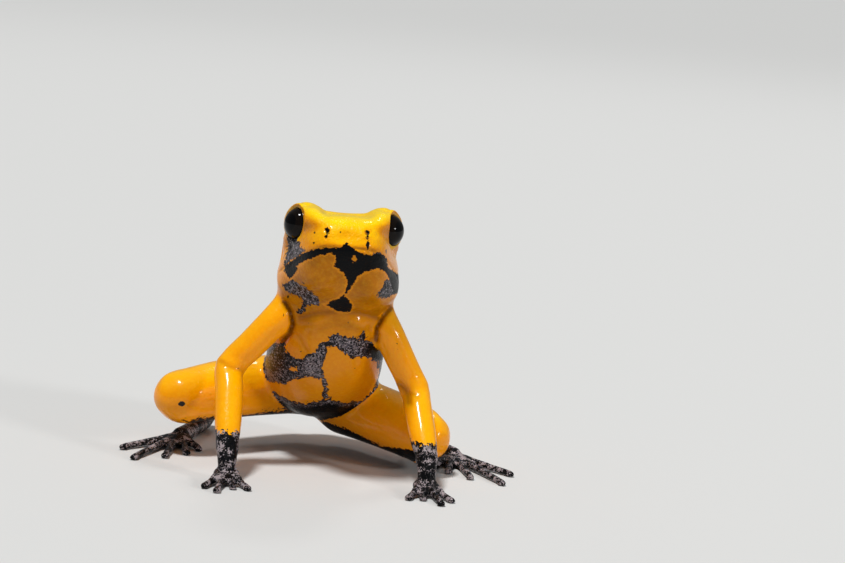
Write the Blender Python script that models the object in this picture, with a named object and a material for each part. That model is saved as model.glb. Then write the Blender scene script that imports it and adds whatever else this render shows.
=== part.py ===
"""A golden poison frog, life size, sitting up on straight forelegs.

The frog faces -Y, +X is its left side and +Z is up. It is modelled whole, in
one smooth skin, and then parted by thin gaps where its limbs bend. Sizes are in
millimetres and MM turns them into metres.
"""

import math

import bmesh
import bpy
from mathutils import Matrix, Vector
from mathutils.bvhtree import BVHTree

MM = 0.001
GAP = 0.3

# Head. Its own axes start at the middle of the lips: back along the mouth, up from it, and across.
LIP = Vector((0.35, -9.0, 30.9))
HEAD_PITCH = math.radians(26)
# Back from the lips, half width at the jaw, half width at the crown, height, depth of the throat.
HEAD_STATIONS = [
    (0.15, 2.4, 2.2, 2.2, 0.5),
    (0.8, 3.5, 3.4, 3.3, 1.1),
    (2.2, 4.6, 4.5, 4.4, 1.9),
    (4.4, 5.5, 5.4, 5.3, 3.0),
    (7.2, 6.4, 5.8, 6.3, 4.3),
    (9.8, 7.3, 6.1, 6.7, 5.2),
    (12.4, 7.8, 6.4, 6.1, 5.6),
    (15.0, 7.6, 6.3, 4.6, 5.6),
]
# How round the corners of a section are: square at 0, a plain oval at 1.
CROWN_CORNER = 0.5
NAPE_CORNER = 0.8
THROAT_CORNER = 0.8
# The corners grow rounder from the crown to the nape between these places.
CROWN_BACK = 6.0
NAPE_BACK = 13.0
EYE_BACK = 7.4
EYE_UP = 4.7
EYE_SIDE = 5.35
EYE_RADIUS = 2.25
EYE_GAP = 0.12
# The skin over an eye is a ball of its own, set a little higher and deeper than the eyeball.
BROW_UP = 4.9
BROW_SIDE = 4.9
BROW_RADIUS = 2.7
LID_SINK = 0.15
LID_LONG = 2.15
LID_HIGH = 2.05
LID_RADIUS = 0.22
LID_DOME = 2.4
LID_TURN = math.radians(37)
LID_ROLL = math.radians(-5)
# The ridge from the nostril to the brow: back, up, across and radius.
CANTHUS_STOPS = [(2.0, 3.1, 3.4, 1.0), (4.2, 4.3, 4.3, 1.6), (7.0, 5.0, 4.4, 2.4)]
# The saddle of the crown between the brows: back, up at its end and its middle, reach across, radius.
SADDLE = (8.0, 4.7, 4.45, 4.4, 2.35)
# The temple behind the brow: back, up, across and radius.
TEMPLE_STOPS = [(7.6, 4.7, 4.7, 2.45), (10.6, 3.9, 4.9, 2.5), (13.4, 2.4, 4.9, 2.5)]
MOUTH_BACK = 11.6
MOUTH_UP = -0.45
MOUTH_WIDTH = 7.6
MOUTH_GROOVE = 0.24
NOSTRIL_BACK = 0.9
NOSTRIL_UP = 2.1
NOSTRIL_SIDE = 2.5
NOSTRIL_RADIUS = 0.3
EAR_BACK = 11.6
EAR_UP = 2.5
EAR_RADIUS = 1.15
EAR_GROOVE = 0.2
# The gap between head and trunk runs from the throat to the nape.
THROAT = Vector((0, -3.6, 20.9))
NAPE = Vector((0, 9.2, 29.4))
NECK_GAP_SIZE = (22, 20)

# Trunk. Middle of each section, its half width, and its reach to the back and to the belly.
TRUNK_STATIONS = [
    ((0.0, 1.2, 27.6), 6.6, 5.0, 4.6),
    ((0.0, 2.6, 24.6), 7.1, 5.6, 5.6),
    ((0.0, 4.2, 20.6), 6.9, 6.4, 5.9),
    ((0.0, 7.0, 15.8), 7.5, 7.2, 6.1),
    ((0.0, 11.0, 11.7), 7.5, 7.0, 5.9),
    ((0.0, 15.6, 8.9), 6.0, 5.4, 4.9),
    ((0.0, 19.4, 7.0), 3.9, 3.2, 3.4),
    ((0.0, 21.8, 5.8), 1.9, 1.5, 1.7),
]

# Forelegs: shoulder, elbow, wrist and knuckles, for the right (-X) and the left.
FORELEG = {
    "right": ((-5.9, 1.4, 20.8), (-12.6, 1.0, 12.9), (-12.5, -6.4, 4.3), (-12.4, -8.6, 1.5)),
    "left": ((5.9, 1.4, 20.9), (11.2, 1.0, 11.6), (12.6, -6.4, 4.3), (12.6, -8.6, 1.5)),
}
SHOULDER_SINK = Vector((0.8, 1.2, 0.4))
SHOULDER_RADIUS = 2.4
UPPER_ARM_RADIUS = 1.95
ELBOW_RADIUS = 1.85
FOREARM_RADIUS = 1.85
WRIST_RADIUS = 1.4
PALM = (1.75, 1.6, 0.85)
FINGER_LENGTHS = (4.6, 4.0, 6.3, 4.7)
FINGER_ANGLES = (-26, -8, 10, 28)
FINGER_RADIUS = 0.48
FINGER_DISC = 0.66

# Hind legs: hip, knee, heel and toe roots.
HIND_LEG = {
    "right": ((-3.6, 17.4, 8.0), (-17.9, 6.8, 7.6), (-14.2, 23.0, 3.0), (-18.0, 12.6, 1.25)),
    "left": ((3.6, 16.6, 5.9), (13.4, 3.2, 4.95), (14.4, 21.0, 2.9), (18.4, 10.8, 1.25)),
}
HIP_RADIUS = 4.0
THIGH_RADIUS = 4.05
KNEE_RADIUS = 3.45
CALF_RADIUS = 2.7
HEEL_RADIUS = 1.5
TARSUS_RADIUS = 1.08
ANKLE_GAP_HEIGHT = 2.52
TOE_LENGTHS = (4.6, 6.8, 9.4, 12.4, 8.4)
TOE_ANGLES = (40, 22, 6, -9, -32)
FOOT_TURN = {"right": math.radians(16), "left": math.radians(-12)}
TOE_RADIUS = 0.52
TOE_DISC = 0.68

# The block of ground that flattens the soles.
GROUND_SIZE = 80
GROUND_DEPTH = 10

VOXEL = 0.22
SHORTEST_EDGE = 0.01
SWOLLEN_TRIANGLES = 9000
TRIANGLES = {
    "head": 2800,
    "torso": 2500,
    "upper_arm": 420,
    "forearm": 420,
    "hand": 920,
    "thigh": 620,
    "shank": 560,
    "foot": 1180,
}

COLOURS = {
    "skin_orange": ((1.0, 0.45, 0.02, 1), 0.3),
    "skin_black": ((0.03, 0.035, 0.04, 1), 0.35),
    "eye_black": ((0.01, 0.01, 0.01, 1), 0.05),
}


def clear_scene():
    for obj in list(bpy.data.objects):
        bpy.data.objects.remove(obj, do_unlink=True)


def material(name):
    colour, roughness = COLOURS[name]
    made = bpy.data.materials.get(name) or bpy.data.materials.new(name)
    made.use_nodes = True
    shader = made.node_tree.nodes["Principled BSDF"]
    shader.inputs["Base Color"].default_value = colour
    shader.inputs["Roughness"].default_value = roughness
    shader.inputs["Metallic"].default_value = 0.0
    return made


def mesh_object(name, points, faces):
    """A new object from points in millimetres, with its faces turned outwards."""
    mesh = bpy.data.meshes.new(name)
    mesh.from_pydata([tuple(p) for p in points], [], faces)
    form = bmesh.new()
    form.from_mesh(mesh)
    bmesh.ops.recalc_face_normals(form, faces=form.faces)
    if form.calc_volume(signed=True) < 0:
        bmesh.ops.reverse_faces(form, faces=form.faces)
    bmesh.ops.scale(form, vec=(MM, MM, MM), verts=form.verts)
    form.to_mesh(mesh)
    form.free()
    obj = bpy.data.objects.new(name, mesh)
    bpy.context.scene.collection.objects.link(obj)
    return obj


def smooth_path(points, steps):
    """Points on the Catmull-Rom curve through these points, as tuples of any length."""
    ends = [points[0], *points, points[-1]]
    path = []
    for i in range(1, len(ends) - 2):
        for step in range(steps):
            t = step / steps
            row = []
            for a, b, c, d in zip(*ends[i - 1 : i + 3]):
                bend = (2 * a - 5 * b + 4 * c - d) * t * t + (3 * b - a - 3 * c + d) * t**3
                row.append(b + ((c - a) * t + bend) / 2)
            path.append(tuple(row))
    path.append(tuple(points[-1]))
    return path


def bridge_rings(name, rings):
    """A closed body through rings that have the same number of points."""
    count = len(rings[0])
    points = [p for ring in rings for p in ring]
    faces = []
    for i in range(len(rings) - 1):
        for j in range(count):
            k = (j + 1) % count
            faces.append((i * count + j, i * count + k, (i + 1) * count + k, (i + 1) * count + j))
    faces.append(tuple(reversed(range(count))))
    faces.append(tuple(range(len(points) - count, len(points))))
    return mesh_object(name, points, faces)


def limb(name, stops, sides=20, steps=6, flat=1.0):
    """A round limb through (point, radius) stops, with domed ends. flat squeezes it in height."""
    rows = smooth_path([(*point, radius) for point, radius in stops], steps)
    centres = [Vector(row[:3]) for row in rows]
    radii = [row[3] for row in rows]
    first = (centres[0] - centres[1]).normalized()
    last = (centres[-1] - centres[-2]).normalized()
    for turn in (30, 60, 85):
        angle = math.radians(turn)
        centres.insert(0, Vector(rows[0][:3]) + first * dome_ring(rows[0][3], angle)[0])
        radii.insert(0, dome_ring(rows[0][3], angle)[1])
        centres.append(Vector(rows[-1][:3]) + last * dome_ring(rows[-1][3], angle)[0])
        radii.append(dome_ring(rows[-1][3], angle)[1])
    across = Vector((1, 0, 0))
    rings = []
    for i, centre in enumerate(centres):
        along = (centres[min(i + 1, len(centres) - 1)] - centres[max(i - 1, 0)]).normalized()
        across = (across - along * across.dot(along)).normalized()
        up = along.cross(across)
        ring = []
        for j in range(sides):
            angle = 2 * math.pi * j / sides
            offset = across * math.cos(angle) * radii[i] + up * math.sin(angle) * radii[i]
            offset.z *= flat
            ring.append(centre + offset)
        rings.append(ring)
    return bridge_rings(name, rings)


def dome_ring(radius, angle):
    """How far out and how wide a domed end is at this angle."""
    return radius * math.sin(angle), radius * math.cos(angle)


def ball(name, centre, radii, turn=None, segments=28):
    obj = mesh_object(name, [], [])
    form = bmesh.new()
    place = Matrix.Translation(Vector(centre) * MM) @ (turn or Matrix.Identity(4))
    scale = Matrix.Diagonal((radii[0] * MM, radii[1] * MM, radii[2] * MM, 1))
    bmesh.ops.create_uvsphere(
        form, u_segments=segments, v_segments=segments // 2, radius=1, matrix=place @ scale
    )
    form.to_mesh(obj.data)
    form.free()
    return obj


def ring_path(centre, turn, wide, high, count=40, dome=0.0):
    """Points round an ellipse in the local XZ plane of turn, or on a dome of that radius over it."""
    points = []
    for i in range(count):
        angle = 2 * math.pi * i / count
        offset = Vector((wide * math.cos(angle), 0, high * math.sin(angle)))
        if dome:
            offset.y = math.sqrt(dome * dome - offset.length_squared)
        points.append(Vector(centre) + turn.to_3x3() @ offset)
    return points


def hoop(name, points, radius, sides=10):
    """A closed tube through a ring of points."""
    middle = sum(points, Vector()) / len(points)
    rings = []
    for i, point in enumerate(points):
        along = (points[(i + 1) % len(points)] - points[i - 1]).normalized()
        out = (point - middle).normalized()
        out = (out - along * out.dot(along)).normalized()
        side = along.cross(out)
        ring = []
        for j in range(sides):
            angle = 2 * math.pi * j / sides
            ring.append(point + (out * math.cos(angle) + side * math.sin(angle)) * radius)
        rings.append(ring)
    points = [p for ring in rings for p in ring]
    faces = []
    for i in range(len(rings)):
        following = (i + 1) % len(rings)
        for j in range(sides):
            k = (j + 1) % sides
            faces.append(
                (i * sides + j, i * sides + k, following * sides + k, following * sides + j)
            )
    return mesh_object(name, points, faces)


def head_point(back, up, side):
    """A point of the head from its place along the mouth, above it and across."""
    return LIP + head_turn().to_3x3() @ Vector((side, back, up))


def head_turn():
    """Local +X across, +Y back along the mouth and +Z up from it."""
    return Matrix.Rotation(-HEAD_PITCH, 4, "X")


def power(value, exponent):
    return math.copysign(abs(value) ** exponent, value)


def skull():
    rings = []
    for back, jaw, crown, height, depth in smooth_path(HEAD_STATIONS, 4):
        share = min(1, max(0, (back - CROWN_BACK) / (NAPE_BACK - CROWN_BACK)))
        corner = CROWN_CORNER + (NAPE_CORNER - CROWN_CORNER) * share
        ring = []
        for i in range(40):
            angle = 2 * math.pi * i / 40
            across = power(math.cos(angle), corner if math.sin(angle) > 0 else THROAT_CORNER)
            rise = power(math.sin(angle), 0.75)
            if rise > 0:
                share = rise * rise * (3 - 2 * rise)
                ring.append(head_point(back, height * rise, across * (jaw + (crown - jaw) * share)))
            else:
                ring.append(head_point(back, depth * rise, across * jaw))
        rings.append(ring)
    return bridge_rings("skull", rings)


def trunk():
    rows = [(*middle, *sizes) for middle, *sizes in TRUNK_STATIONS]
    rows = smooth_path(rows, 4)
    rings = []
    for i, (x, y, z, wide, dorsal, ventral) in enumerate(rows):
        ahead = Vector(rows[min(i + 1, len(rows) - 1)][:3])
        behind = Vector(rows[max(i - 1, 0)][:3])
        along = (ahead - behind).normalized()
        across = Vector((1, 0, 0))
        up = across.cross(along)
        ring = []
        for j in range(40):
            angle = 2 * math.pi * j / 40
            rise = math.sin(angle)
            reach = dorsal if rise > 0 else ventral
            side = across * power(math.cos(angle), 0.9) * wide
            ring.append(Vector((x, y, z)) + side + up * power(rise, 0.9) * reach)
        rings.append(ring)
    return bridge_rings("trunk", rings)


def lid_turn(side):
    """The plane of one eye's opening: local +Y points out of the head."""
    out = Matrix.Rotation(side * (math.pi / -2 - LID_TURN), 4, "Z")
    return head_turn() @ out @ Matrix.Rotation(LID_ROLL, 4, "X")


def eye_centre(side):
    return head_point(EYE_BACK, EYE_UP, side * EYE_SIDE)


def lid_centre(side):
    """The middle of the lids of one eye."""
    return head_point(EYE_BACK, EYE_UP, side * (EYE_SIDE - LID_SINK))


def brows():
    """The skin over both eyeballs, the rims of the lids and the ridges in front of them."""
    made = []
    for side in (-1, 1):
        brow = head_point(EYE_BACK, BROW_UP, side * BROW_SIDE)
        made.append(ball("brow", brow, (BROW_RADIUS,) * 3, head_turn()))
        long, high = LID_LONG + LID_RADIUS / 3, LID_HIGH + LID_RADIUS / 3
        rim = ring_path(lid_centre(side), lid_turn(side), long, high, dome=LID_DOME)
        made.append(hoop("lid", rim, LID_RADIUS))
        for name, stops in (("canthus", CANTHUS_STOPS), ("temple", TEMPLE_STOPS)):
            ridge = [
                (head_point(back, up, side * across), radius) for back, up, across, radius in stops
            ]
            made.append(limb(name, ridge))
    back, end, middle, reach, radius = SADDLE
    stops = [(-reach, end), (0, middle), (reach, end)]
    made.append(limb("saddle", [(head_point(back, up, side), radius) for side, up in stops]))
    return made


def foreleg(side):
    shoulder, elbow, wrist, knuckles = (Vector(p) for p in FORELEG[side])
    sign = math.copysign(1, shoulder.x)
    made = [
        limb(
            "arm",
            [
                (shoulder + SHOULDER_SINK * Vector((-sign, 1, 1)), SHOULDER_RADIUS),
                (shoulder.lerp(elbow, 0.22), SHOULDER_RADIUS * 0.85),
                (shoulder.lerp(elbow, 0.6), UPPER_ARM_RADIUS),
                (elbow, ELBOW_RADIUS),
                (elbow.lerp(wrist, 0.3), FOREARM_RADIUS),
                (elbow.lerp(wrist, 0.75), FOREARM_RADIUS * 0.93),
                (wrist, WRIST_RADIUS),
                (wrist.lerp(knuckles, 0.7), WRIST_RADIUS * 0.85),
            ],
        ),
        ball("palm", knuckles + Vector((0, 0.5, -0.45)), PALM),
    ]
    for length, degrees in zip(FINGER_LENGTHS, FINGER_ANGLES):
        angle = math.radians(degrees) * sign
        made += digit(knuckles, angle, length, FINGER_RADIUS, FINGER_DISC, PALM[0] * 0.62, 1.15)
    return made


def digit(root, angle, length, radius, disc, spread, arch):
    """A finger or toe that points along -Y, turned by angle towards +X, with its tip disc."""
    along = Vector((math.sin(angle), -math.cos(angle), 0))
    start = Vector((root.x, root.y, 0)) + Vector((math.sin(angle) * spread * 1.5, 0.2, 0))
    stops = [
        (start + Vector((0, 0, arch)), radius * 1.35),
        (start + along * length * 0.3 + Vector((0, 0, arch * 0.85)), radius * 1.1),
        (start + along * length * 0.55 + Vector((0, 0, radius * 1.15)), radius * 0.95),
        (start + along * length * 0.8 + Vector((0, 0, radius * 0.95)), radius * 0.9),
        (start + along * (length - disc * 0.4) + Vector((0, 0, radius * 0.85)), radius * 0.8),
    ]
    turn = Matrix.Rotation(angle, 4, "Z")
    tip = start + along * (length - disc * 0.75) + Vector((0, 0, disc * 0.42))
    return [
        limb("digit", stops, sides=12, steps=4),
        ball("disc", tip, (disc, disc * 1.05, disc * 0.5), turn, segments=16),
    ]


def hind_leg(side):
    hip, knee, heel, root = (Vector(p) for p in HIND_LEG[side])
    sign = math.copysign(1, hip.x)
    lower_knee = knee + Vector((0, 0.7, -0.9))
    ankle = heel.lerp(root, 0.12)
    made = [
        limb(
            "thigh",
            [
                (hip, HIP_RADIUS),
                (hip.lerp(knee, 0.35) + Vector((0, 0, 0.35)), THIGH_RADIUS),
                (hip.lerp(knee, 0.7) + Vector((0, 0, 0.3)), THIGH_RADIUS * 0.96),
                (knee, KNEE_RADIUS),
            ],
        ),
        limb(
            "shank",
            [
                (lower_knee, KNEE_RADIUS * 0.86),
                (lower_knee.lerp(heel, 0.3) + Vector((sign * 0.6, 0, 0.8)), CALF_RADIUS),
                (lower_knee.lerp(heel, 0.65) + Vector((sign * 0.3, 0, 1.1)), CALF_RADIUS * 0.75),
                (heel + Vector((0, -1.2, 0.5)), HEEL_RADIUS),
                (heel, HEEL_RADIUS * 0.93),
            ],
        ),
        limb(
            "tarsus",
            [
                (heel + Vector((0, 0.3, -0.5)), HEEL_RADIUS * 0.95),
                (Vector((ankle.x, ankle.y, 1.22)), TARSUS_RADIUS),
                (Vector((*heel.lerp(root, 0.55).xy, 1.1)), TARSUS_RADIUS),
                (Vector((*heel.lerp(root, 0.9).xy, 1.0)), TARSUS_RADIUS * 1.08),
                (root, TARSUS_RADIUS * 0.95),
            ],
        ),
        ball("sole", Vector((root.x, root.y - 0.8, 0.8)), (1.7, 2.1, 0.8)),
    ]
    for length, degrees in zip(TOE_LENGTHS, TOE_ANGLES):
        angle = -sign * math.radians(degrees) + -FOOT_TURN[side]
        start = Vector((root.x, root.y - 0.8, 0))
        made += digit(start, angle, length, TOE_RADIUS, TOE_DISC, 1.3, 0.75)
    return made


def join(objects, name):
    """One object of all these closed bodies, which still overlap."""
    form = bmesh.new()
    for obj in objects:
        form.from_mesh(obj.data)
        bpy.data.objects.remove(obj, do_unlink=True)
    whole = mesh_object(name, [], [])
    form.to_mesh(whole.data)
    form.free()
    return whole


def apply_modifiers(obj):
    graph = bpy.context.evaluated_depsgraph_get()
    baked = bpy.data.meshes.new_from_object(obj.evaluated_get(graph))
    obj.modifiers.clear()
    obj.data = baked


def fuse(obj):
    """Melts the overlapping bodies into one skin and softens where they meet."""
    remesh = obj.modifiers.new("skin", "REMESH")
    remesh.mode = "VOXEL"
    remesh.voxel_size = VOXEL * MM
    apply_modifiers(obj)
    soft = obj.vertex_groups.new(name="soft")
    for vertex in obj.data.vertices:
        height = vertex.co.z / MM
        weight = min(1.0, max(0.0, (height - 1.5) / 3.0))
        if weight > 0:
            soft.add([vertex.index], weight, "REPLACE")
    smooth = obj.modifiers.new("soften", "SMOOTH")
    smooth.factor = 0.5
    smooth.iterations = 14
    smooth.vertex_group = "soft"
    apply_modifiers(obj)
    obj.vertex_groups.clear()


def slab(centre, normal, along, long, wide):
    """A thin box that parts the skin across normal, long by wide, long running along."""
    normal = normal.normalized()
    along = (along - normal * along.dot(normal)).normalized()
    across = normal.cross(along)
    points = []
    for n in (-GAP / 2, GAP / 2):
        for a, w in ((-1, -1), (1, -1), (1, 1), (-1, 1)):
            points.append(centre + normal * n + along * a * long / 2 + across * w * wide / 2)
    faces = [(3, 2, 1, 0), (4, 5, 6, 7), (0, 1, 5, 4), (1, 2, 6, 5), (2, 3, 7, 6), (3, 0, 4, 7)]
    return mesh_object("slab", points, faces)


def fold_slab(corner, first, second, behind, ahead, wide):
    """The gap between two lengths of a limb that fold back from one corner."""
    one = (first - corner).normalized()
    other = (second - corner).normalized()
    middle = (one + other).normalized()
    centre = corner + middle * (ahead - behind) / 2
    return slab(centre, other - one, middle, ahead + behind, wide)


def neck_gap():
    along = NAPE - THROAT
    return slab((THROAT + NAPE) / 2, along.cross(Vector((1, 0, 0))), along, *NECK_GAP_SIZE)


def foreleg_gaps(side):
    shoulder, elbow, wrist, knuckles = (Vector(p) for p in FORELEG[side])
    bend = fold_slab(elbow + Vector((0, 0.2, 0)), shoulder, wrist, 4, 4, 8)
    hand = wrist.lerp(knuckles, 0.15)
    return [bend, slab(hand, knuckles - elbow, Vector((1, 0, 0)), 6, 6)]


def hind_leg_gaps(side):
    hip, knee, heel, root = (Vector(p) for p in HIND_LEG[side])
    bend = fold_slab(knee + Vector((0, 0.5, -0.6)), hip, heel, 6, 22, 14)
    middle = heel.lerp(root, 0.36)
    middle.z = ANKLE_GAP_HEIGHT
    along = Vector(((heel - root).x, (heel - root).y, 0))
    return [bend, slab(middle, Vector((0, 0, 1)), along, 12.5, 5.4)]


def cut(obj, cutter, keep_cutter=False):
    """Takes the cutter out of the object, for good."""
    boolean = obj.modifiers.new("cut", "BOOLEAN")
    boolean.operation = "DIFFERENCE"
    boolean.solver = "MANIFOLD"
    boolean.object = cutter
    apply_modifiers(obj)
    if not keep_cutter:
        bpy.data.objects.remove(cutter, do_unlink=True)


def islands(mesh):
    """The closed surfaces of a mesh, as sets of face indices, largest first."""
    form = bmesh.new()
    form.from_mesh(mesh)
    form.faces.ensure_lookup_table()
    seen = set()
    found = []
    for face in form.faces:
        if face.index in seen:
            continue
        group = []
        queue = [face]
        seen.add(face.index)
        while queue:
            current = queue.pop()
            group.append(current.index)
            for edge in current.edges:
                for other in edge.link_faces:
                    if other.index not in seen:
                        seen.add(other.index)
                        queue.append(other)
        found.append(group)
    form.free()
    return sorted(found, key=len, reverse=True)


def piece(whole, faces, name):
    """A new object of these faces of the whole."""
    keep = set(faces)
    form = bmesh.new()
    form.from_mesh(whole.data)
    drop = [face for face in form.faces if face.index not in keep]
    bmesh.ops.delete(form, geom=drop, context="FACES")
    loose = [vertex for vertex in form.verts if not vertex.link_faces]
    bmesh.ops.delete(form, geom=loose, context="VERTS")
    obj = mesh_object(name, [], [])
    form.to_mesh(obj.data)
    form.free()
    return obj


def largest(obj):
    """Keeps only the largest closed surface."""
    groups = islands(obj.data)
    if len(groups) > 1:
        kept = piece(obj, groups[0], "kept")
        obj.data = kept.data
        bpy.data.objects.remove(kept, do_unlink=True)


def middle_of(whole, faces):
    total = Vector()
    for index in faces:
        total += whole.data.polygons[index].center
    return total / len(faces) / MM


def body_seeds():
    """A point inside each member, by which its island is told."""
    return {"head": head_point(8, 0.5, 0), "torso": Vector((0, 9, 15))}


def foreleg_seeds(side):
    shoulder, elbow, wrist, knuckles = (Vector(p) for p in FORELEG[side])
    return {
        f"upper_arm_{side}": shoulder.lerp(elbow, 0.7),
        f"forearm_{side}": elbow.lerp(wrist, 0.5),
        f"hand_{side}": knuckles + Vector((0, -1.5, -0.5)),
    }


def hind_leg_seeds(side):
    hip, knee, heel, root = (Vector(p) for p in HIND_LEG[side])
    return {
        f"thigh_{side}": hip.lerp(knee, 0.6),
        f"shank_{side}": knee.lerp(heel, 0.45),
        f"foot_{side}": root,
    }


def part_members(whole, seeds):
    """Names each island by the seed nearest to its middle."""
    groups = islands(whole.data)[: len(seeds)]
    middles = [middle_of(whole, group) for group in groups]
    members = {}
    for name, seed in seeds.items():
        near = min(range(len(groups)), key=lambda i: (middles[i] - seed).length)
        members[name] = piece(whole, groups[near], name)
    bpy.data.objects.remove(whole, do_unlink=True)
    return members


def swollen(obj):
    """A copy that is a gap's width fatter all over."""
    copy = bpy.data.objects.new("swollen", obj.data.copy())
    bpy.context.scene.collection.objects.link(copy)
    thin_out(copy, SWOLLEN_TRIANGLES)
    swell = copy.modifiers.new("swell", "DISPLACE")
    swell.strength = GAP * MM
    swell.mid_level = 0.0
    apply_modifiers(copy)
    return copy


def tidy_mesh(obj):
    """Triangles only, with the shortest edges closed up."""
    form = bmesh.new()
    form.from_mesh(obj.data)
    bmesh.ops.remove_doubles(form, verts=form.verts, dist=SHORTEST_EDGE * MM)
    bmesh.ops.dissolve_degenerate(form, edges=form.edges, dist=SHORTEST_EDGE * MM)
    bmesh.ops.triangulate(form, faces=form.faces)
    form.to_mesh(obj.data)
    form.free()


def thin_out(obj, triangles):
    """Fewer faces, about this many triangles."""
    tidy_mesh(obj)
    decimate = obj.modifiers.new("thin", "DECIMATE")
    decimate.ratio = min(1.0, triangles / len(obj.data.polygons))
    apply_modifiers(obj)
    tidy_mesh(obj)


def surface_of(obj):
    return BVHTree.FromPolygons(
        [vertex.co / MM for vertex in obj.data.vertices],
        [tuple(polygon.vertices) for polygon in obj.data.polygons],
    )


def on_surface(tree, inside, outwards):
    """Where a line from inside the head leaves it."""
    hit = tree.ray_cast(inside, outwards.normalized())[0]
    return hit or inside


def mouth_line(tree):
    """Points on the skin along the mouth, from its right corner round to its left."""
    inside = head_point(MOUTH_BACK, MOUTH_UP, 0)
    points = []
    for i in range(31):
        angle = math.radians(-90 + 6 * i)
        forward = math.cos(angle) * MOUTH_BACK
        target = head_point(MOUTH_BACK - forward, MOUTH_UP, math.sin(angle) * MOUTH_WIDTH)
        points.append(on_surface(tree, inside, target - inside))
    return points


def carve_head(head):
    """Sockets, mouth, nostrils and ears, all cut from the thinned skin."""
    tree = surface_of(head)
    line = mouth_line(tree)
    cutters = [limb("mouth", [(point, MOUTH_GROOVE) for point in line], sides=6, steps=1)]
    for side in (-1, 1):
        inner = head_point(NOSTRIL_BACK + 3, NOSTRIL_UP, side * 1.2)
        outer = head_point(NOSTRIL_BACK, NOSTRIL_UP, side * NOSTRIL_SIDE)
        nostril = on_surface(tree, inner, outer - inner)
        radii = (NOSTRIL_RADIUS, NOSTRIL_RADIUS * 1.3, NOSTRIL_RADIUS)
        cutters.append(ball("nostril", nostril, radii, head_turn(), segments=12))
        inner = head_point(EAR_BACK, EAR_UP, side * 3)
        drum = on_surface(tree, inner, head_point(EAR_BACK, EAR_UP, side * 9) - inner)
        rim = []
        for point in ring_path(drum, lid_turn(side), EAR_RADIUS, EAR_RADIUS * 1.1, 20):
            rim.append(tree.find_nearest(point)[0])
        cutters.append(hoop("ear", rim, EAR_GROOVE, 6))
    for cutter in cutters:
        cut(head, cutter)
    for side in (-1, 1):
        cut(head, ball("socket", eye_centre(side), (EYE_RADIUS + EYE_GAP,) * 3, segments=24))
        cut(head, lid_opening(side))
    largest(head)


def lid_opening(side, count=28):
    """An oval post that opens the skin over one eye."""
    centre = lid_centre(side)
    turn = lid_turn(side)
    out = turn.to_3x3() @ Vector((0, 1, 0))
    rings = [
        [point + out * reach for point in ring_path(centre, turn, LID_LONG, LID_HIGH, count)]
        for reach in (0.7, 5.0)
    ]
    return bridge_rings("opening", rings)


def flatten_soles(obj):
    """A small flat under whatever reaches the ground."""
    wide, deep = GROUND_SIZE / 2, GROUND_DEPTH
    corners = [(-wide, -wide), (wide, -wide), (wide, wide), (-wide, wide)]
    cut(obj, bridge_rings("ground", [[(x, y, z) for x, y in corners] for z in (-deep, 0)]))
    largest(obj)


def finish(obj, slot):
    obj.data.materials.clear()
    obj.data.materials.append(material(slot))
    obj.data.shade_smooth()
    obj.data.set_sharp_from_angle(angle=math.radians(40))


def members_of(bodies, name, seeds, slabs, neighbour=None):
    """Fuses these bodies, frees them from their neighbour and parts them at the slabs."""
    whole = join(bodies, name)
    fuse(whole)
    if neighbour:
        cut(whole, neighbour, keep_cutter=True)
        largest(whole)
    for gap in slabs:
        cut(whole, gap)
    return part_members(whole, seeds)


def centre_on_origin():
    """Moves all nodes so that the middle of the frog's box, seen from above, is the origin."""
    bodies = [obj for obj in bpy.data.objects if obj.type == "MESH"]
    points = [vertex.co for obj in bodies for vertex in obj.data.vertices]
    middle_x = (min(p.x for p in points) + max(p.x for p in points)) / 2
    middle_y = (min(p.y for p in points) + max(p.y for p in points)) / 2
    for obj in bodies:
        obj.data.transform(Matrix.Translation((-middle_x, -middle_y, 0)))


def frog():
    clear_scene()
    body = join([skull(), trunk(), *brows()], "body")
    fuse(body)
    body_shell = swollen(body)
    cut(body, neck_gap())
    members = part_members(body, body_seeds())
    for side in ("right", "left"):
        arm = foreleg(side)
        members |= members_of(arm, "arm", foreleg_seeds(side), foreleg_gaps(side), body_shell)
        leg = hind_leg(side)
        members |= members_of(leg, "leg", hind_leg_seeds(side), hind_leg_gaps(side), body_shell)
    bpy.data.objects.remove(body_shell, do_unlink=True)
    for name, member in members.items():
        kind = name.removesuffix("_right").removesuffix("_left")
        thin_out(member, TRIANGLES[kind])
        if kind == "head":
            carve_head(member)
        if kind in ("hand", "foot"):
            flatten_soles(member)
        finish(member, "skin_black" if kind in ("hand", "foot") else "skin_orange")
    for side, sign in (("right", -1), ("left", 1)):
        eye = ball(f"eye_{side}", eye_centre(sign), (EYE_RADIUS,) * 3, segments=20)
        finish(eye, "eye_black")
    centre_on_origin()


frog()
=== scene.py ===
"""The looks of a golden poison frog that sits up on straight forelegs.

One smooth skin is drawn over all the members of the body, the eyes are polished
balls of their own, and the markings are painted by the shader inside outlines
that are laid on the skin. Sizes are in millimetres and MM turns them into metres.
Places named in picture points belong to a picture of 845 by 563 points, seen
through the camera that is set up here. Right and left are the frog's own.
"""

import math

import bmesh
import bpy
import numpy as np
from mathutils import Matrix, Vector
from mathutils.bvhtree import BVHTree


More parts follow.
